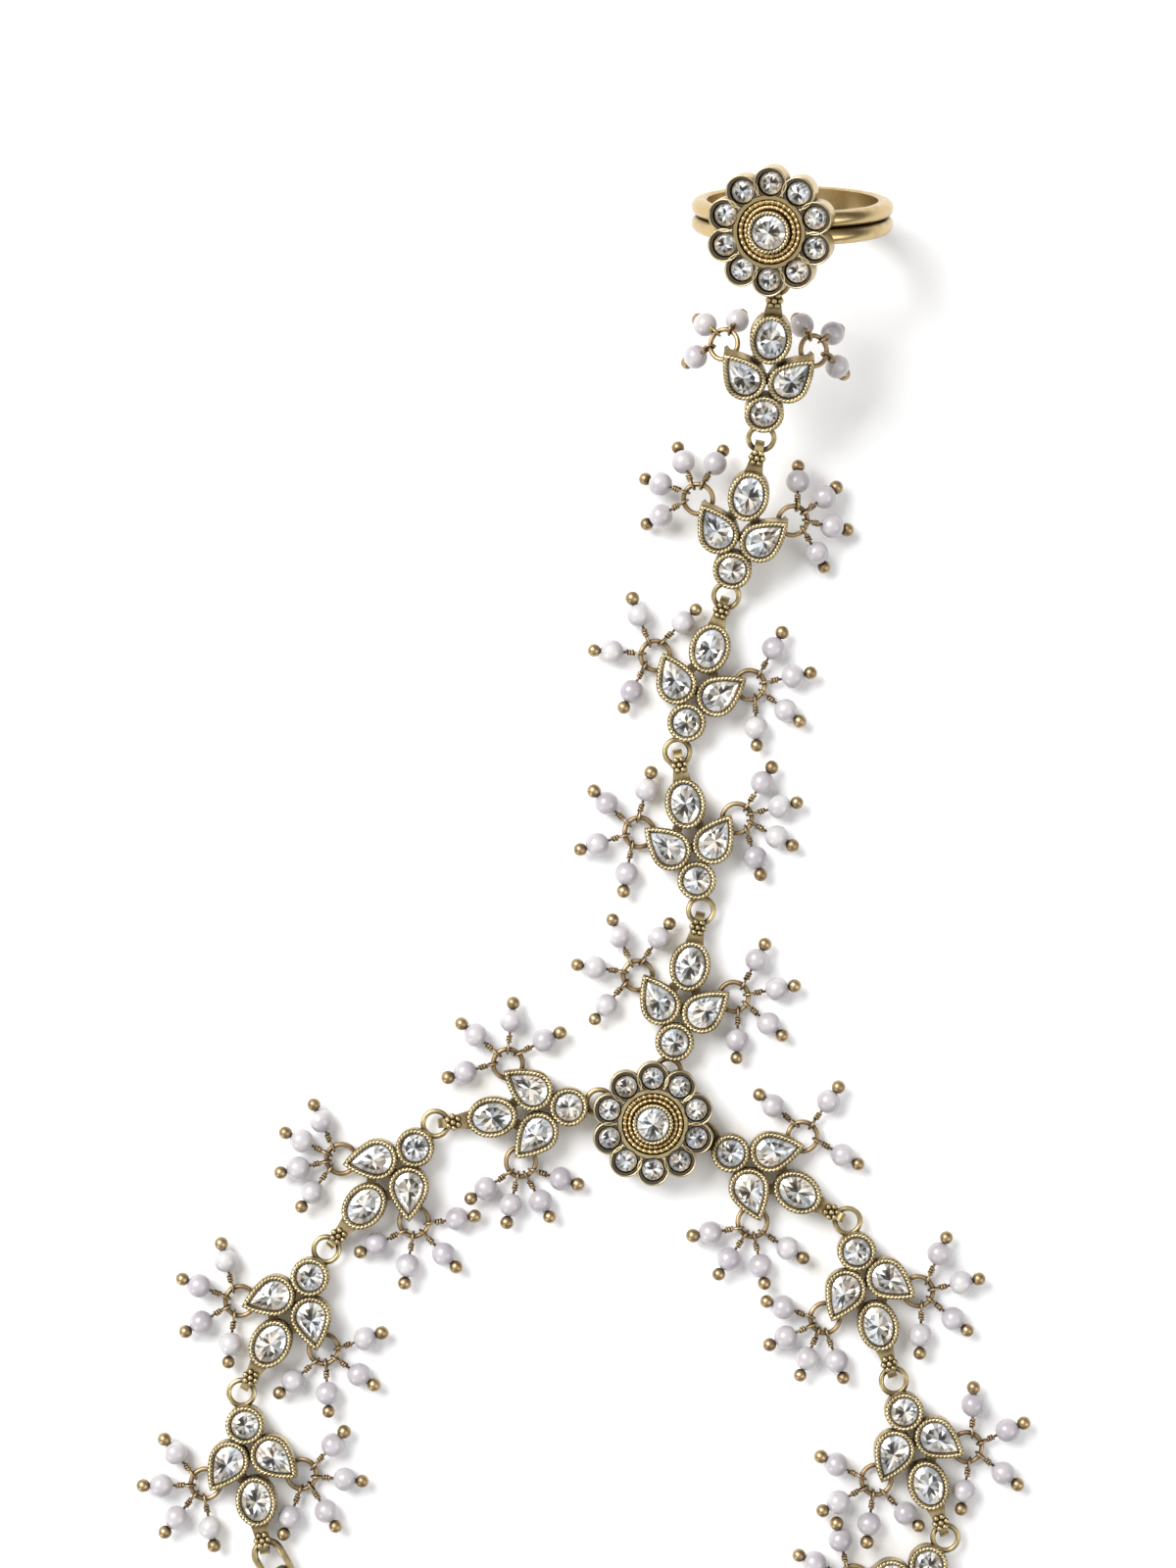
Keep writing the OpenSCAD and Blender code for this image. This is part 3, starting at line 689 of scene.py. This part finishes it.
def dress_drops(name):
    """The pearls and the wires of a whole run's drops."""
    pearls, wires = Shape(), Shape()
    run, fans = RUNS[name]
    for i, place in enumerate(link_places(name)):
        pick = random.Random(f"{name}{i}")
        for side, fan in zip((1, -1), fans[i]):
            dress_fan(pearls, wires, place, run[i], fan, side, pick)
    return pearls, wires


# Materials
def new_material(name):
    material = bpy.data.materials.new(name)
    material.use_nodes = True
    tree = material.node_tree
    return material, tree.nodes, tree.links, tree.nodes["Principled BSDF"]


def ramp(nodes, stops):
    """A colour ramp from a list of places and colours."""
    node = nodes.new("ShaderNodeValToRGB")
    elements = node.color_ramp.elements
    while len(elements) > 1:
        elements.remove(elements[-1])
    elements[0].position, elements[0].color = stops[0][0], (*stops[0][1], 1)
    for at, colour in stops[1:]:
        elements.new(at).color = (*colour, 1)
    return node


def object_noise(nodes, links, scale, detail):
    """Noise that is fixed to the object."""
    coord = nodes.new("ShaderNodeTexCoord")
    noise = nodes.new("ShaderNodeTexNoise")
    noise.inputs["Scale"].default_value = scale
    noise.inputs["Detail"].default_value = detail
    links.new(coord.outputs["Object"], noise.inputs["Vector"])
    return noise


def remap(nodes, links, value, low, high, from_low=0.0, from_high=1.0):
    node = nodes.new("ShaderNodeMapRange")
    node.inputs["From Min"].default_value = from_low
    node.inputs["From Max"].default_value = from_high
    node.inputs["To Min"].default_value = low
    node.inputs["To Max"].default_value = high
    links.new(value, node.inputs["Value"])
    return node.outputs["Result"]


def roughen(nodes, links, bsdf, noise, strength, depth):
    """A fine bump by a noise."""
    bump = nodes.new("ShaderNodeBump")
    bump.inputs["Strength"].default_value = strength
    bump.inputs["Distance"].default_value = depth
    links.new(noise.outputs["Fac"], bump.inputs["Height"])
    links.new(bump.outputs["Normal"], bsdf.inputs["Normal"])


DARK = (0.022, 0.015, 0.009)


def antique(name, mid, light, rough, reach=0.0009, patch=0.35):
    """Worn pale gold over dark tarnish, which stays in recesses within reach, in metres, and in patches."""
    material, nodes, links, bsdf = new_material(name)
    open_air = nodes.new("ShaderNodeAmbientOcclusion")
    open_air.samples = 8
    open_air.inputs["Distance"].default_value = reach
    noise = object_noise(nodes, links, 900, 3)
    worn = nodes.new("ShaderNodeMath")
    worn.operation = "MULTIPLY"
    links.new(open_air.outputs["AO"], worn.inputs[0])
    links.new(remap(nodes, links, noise.outputs["Fac"], 1 - patch, 1.0, 0.35, 0.7), worn.inputs[1])
    colours = ramp(nodes, [(0.18, DARK), (0.5, mid), (0.88, light)])
    links.new(worn.outputs["Value"], colours.inputs["Fac"])
    links.new(colours.outputs["Color"], bsdf.inputs["Base Color"])
    gloss = remap(nodes, links, worn.outputs["Value"], min(0.75, rough + 0.3), rough)
    links.new(gloss, bsdf.inputs["Roughness"])
    bsdf.inputs["Metallic"].default_value = 1.0
    roughen(nodes, links, bsdf, noise, 0.12, 0.00005)
    return material


def painted_reflection_stone():
    """A clear stone: each facet's own tone of painted reflection, with faint spots of painted coloured fire
    over it.
    """
    material, nodes, links, bsdf = new_material("crystal_painted_reflections")
    tone = nodes.new("ShaderNodeAttribute")
    tone.attribute_name = "tone"
    greys = ramp(nodes, [(0.15, (0.02, 0.018, 0.016)), (0.35, (0.12, 0.105, 0.085)),
                         (0.6, (0.36, 0.35, 0.33)), (0.85, (0.7, 0.7, 0.7)), (1.0, (0.97, 0.97, 0.96))])
    links.new(tone.outputs["Fac"], greys.inputs["Fac"])
    # Painted fire: faint coloured glints laid over the facets by a noise.
    noise = object_noise(nodes, links, 620, 1)
    tints = ramp(nodes, [(0.36, (0.72, 0.84, 1.0)), (0.47, (1, 1, 1)), (0.56, (1, 0.93, 0.72)),
                         (0.66, (1, 0.74, 0.5))])
    links.new(noise.outputs["Fac"], tints.inputs["Fac"])
    mix = nodes.new("ShaderNodeMix")
    mix.data_type = "RGBA"
    mix.blend_type = "MULTIPLY"
    # Sockets by place, as names repeat here: 0 is the factor, 6 and 7 the colours, 2 the mixed colour.
    mix.inputs[0].default_value = 0.45
    links.new(greys.outputs["Color"], mix.inputs[6])
    links.new(tints.outputs["Color"], mix.inputs[7])
    links.new(mix.outputs[2], bsdf.inputs["Base Color"])
    bsdf.inputs["Metallic"].default_value = 0.45
    bsdf.inputs["Roughness"].default_value = 0.12
    bsdf.inputs["Coat Weight"].default_value = 1.0
    bsdf.inputs["Coat Roughness"].default_value = 0.03
    return material


def pearl_skin():
    """The slightly lilac, slightly wrinkled coat of an imitation pearl."""
    material, nodes, links, bsdf = new_material("pearl_skin")
    noise = object_noise(nodes, links, 330, 2)
    colours = ramp(nodes, [(0.3, (0.37, 0.34, 0.37)), (0.5, (0.47, 0.44, 0.46)), (0.7, (0.58, 0.56, 0.55))])
    links.new(noise.outputs["Fac"], colours.inputs["Fac"])
    links.new(colours.outputs["Color"], bsdf.inputs["Base Color"])
    bsdf.inputs["Roughness"].default_value = 0.3
    bsdf.inputs["Coat Weight"].default_value = 0.5
    bsdf.inputs["Coat Roughness"].default_value = 0.12
    roughen(nodes, links, bsdf, noise, 0.2, 0.0001)
    return material


def plain_material(name, colour, rough):
    material, _, _, bsdf = new_material(name)
    bsdf.inputs["Base Color"].default_value = (*colour, 1)
    bsdf.inputs["Roughness"].default_value = rough
    return material, bsdf


gold = antique("antique_gold", (0.2, 0.145, 0.07), (0.56, 0.45, 0.24), 0.32)
rope_gold = antique("rope_gold", (0.2, 0.15, 0.075), (0.66, 0.54, 0.31), 0.28, 0.0005, 0.3)
bead_gold = antique("bead_gold", (0.3, 0.18, 0.06), (0.74, 0.53, 0.24), 0.28, 0.0004, 0.2)
ring_gold = antique("ring_gold", (0.25, 0.175, 0.08), (0.52, 0.39, 0.19), 0.27, 0.0009, 0.2)
wire_gold = antique("wire_gold", (0.15, 0.1, 0.05), (0.46, 0.34, 0.19), 0.36, 0.0007, 0.35)
# Flat dark colour of the rings of painted shade in the petals.
painted_recess_shade, _ = plain_material("dark_painted_shade", (0.03, 0.022, 0.014), 0.6)
crystal = painted_reflection_stone()
pearl = pearl_skin()


def node_material(name):
    """The material that a solid of the part shows."""
    if name == "finger_ring":
        return ring_gold
    if name.endswith("drop_rings"):
        return wire_gold
    if name.endswith("stones"):
        return crystal
    return gold


for name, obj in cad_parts.items():
    obj.data.materials.clear()
    obj.data.materials.append(node_material(name))


def piece(shape, name, material, slot, replaced=()):
    """Makes a piece of the looks under the root, and hides the solids that it stands for."""
    obj = shape.make(name, material)
    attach(obj, "root")
    if replaced:
        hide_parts(*replaced)


for name, (run, _) in RUNS.items():
    rims, stones = dress_links(name)
    piece(rims, f"{name}_rope_rims", rope_gold, "metal")
    piece(stones, f"{name}_cut_stones", crystal, "crystal", [f"{name}_stones"])
    pearls, wires = dress_drops(name)
    piece(pearls, f"{name}_pearls", pearl, "pearl", [f"{name}_drops_{i + 1}" for i in range(len(run))])
    piece(wires, f"{name}_wrapped_pins", wire_gold, "dark_metal")

for place, name, slot, replaced in ((MEDALLION, "medallion", "metal", "medallion_stones"),
                                    (HEAD, "ring_head", "ring_metal", "ring_stones")):
    rims, stones, beads, shades = dress_flower(place, name)
    piece(rims, f"{name}_rope_rim", rope_gold, slot)
    piece(beads, f"{name}_beading", bead_gold, slot)
    # The petals' dark rings are painted shade for their recesses.
    piece(shades, f"{name}_petal_painted_shade", painted_recess_shade, slot)
    piece(stones, f"{name}_cut_stones", crystal, "crystal", [replaced])

# Floor. It lies a hair below the surface, so that the part's lowest faces stay clear of it.
FLOOR_SIZE = 3
FLOOR_DROP = 0.00001
bpy.ops.mesh.primitive_plane_add(size=FLOOR_SIZE, location=(0, 0, -FLOOR_DROP))
floor = bpy.context.object
floor.name = "floor"
paper, paper_bsdf = plain_material("white_paper", (0.92, 0.92, 0.92), 0.9)
paper_bsdf.inputs["Specular IOR Level"].default_value = 0.1
floor.data.materials.append(paper)


def studio_world():
    """Soft light from above, which falls off to dark towards the horizon and stays dark below it."""
    world = bpy.data.worlds.new("studio")
    world.use_nodes = True
    nodes, links = world.node_tree.nodes, world.node_tree.links
    background = nodes["Background"]
    coord = nodes.new("ShaderNodeTexCoord")
    split = nodes.new("ShaderNodeSeparateXYZ")
    tone = ramp(nodes, [(0.0, (0.05, 0.045, 0.04)), (0.3, (0.14, 0.14, 0.14)), (0.62, (0.75, 0.75, 0.76)),
                        (1.0, (1, 1, 1))])
    links.new(coord.outputs["Generated"], split.inputs["Vector"])
    links.new(split.outputs["Z"], tone.inputs["Fac"])
    links.new(tone.outputs["Color"], background.inputs["Color"])
    background.inputs["Strength"].default_value = 0.68
    return world


LIGHT_AIM = (0, 0.03, 0)


def soft_light(name, at, size, watts):
    """A square soft light, aimed at the middle of the bracelet."""
    data = bpy.data.lights.new(name, "AREA")
    data.shape = "SQUARE"
    data.size = size
    data.energy = watts
    light = bpy.data.objects.new(name, data)
    light.location = at
    light.rotation_euler = (Vector(LIGHT_AIM) - Vector(at)).to_track_quat("-Z", "Y").to_euler()
    bpy.context.scene.collection.objects.link(light)


bpy.context.scene.world = studio_world()
soft_light("key", (-0.42, 0.36, 0.55), 0.5, 8)
soft_light("fill", (0.5, -0.2, 0.45), 0.4, 1.5)
soft_light("low_rim", (-0.5, -0.45, 0.2), 0.25, 1)

# Camera. It looks straight down, and its frame is 160 mm high at the surface.
CAMERA_AT = (-0.00655, 0.0343, 0.35)
FRAME_HEIGHT = 0.16
SENSOR_HEIGHT = 24
lens = bpy.data.cameras.new("camera")
lens.sensor_fit = "VERTICAL"
lens.sensor_height = SENSOR_HEIGHT
lens.lens = SENSOR_HEIGHT * CAMERA_AT[2] / FRAME_HEIGHT
camera = bpy.data.objects.new("camera", lens)
camera.location = CAMERA_AT
bpy.context.scene.collection.objects.link(camera)
bpy.context.scene.camera = camera
bpy.context.scene.view_settings.view_transform = "Standard"
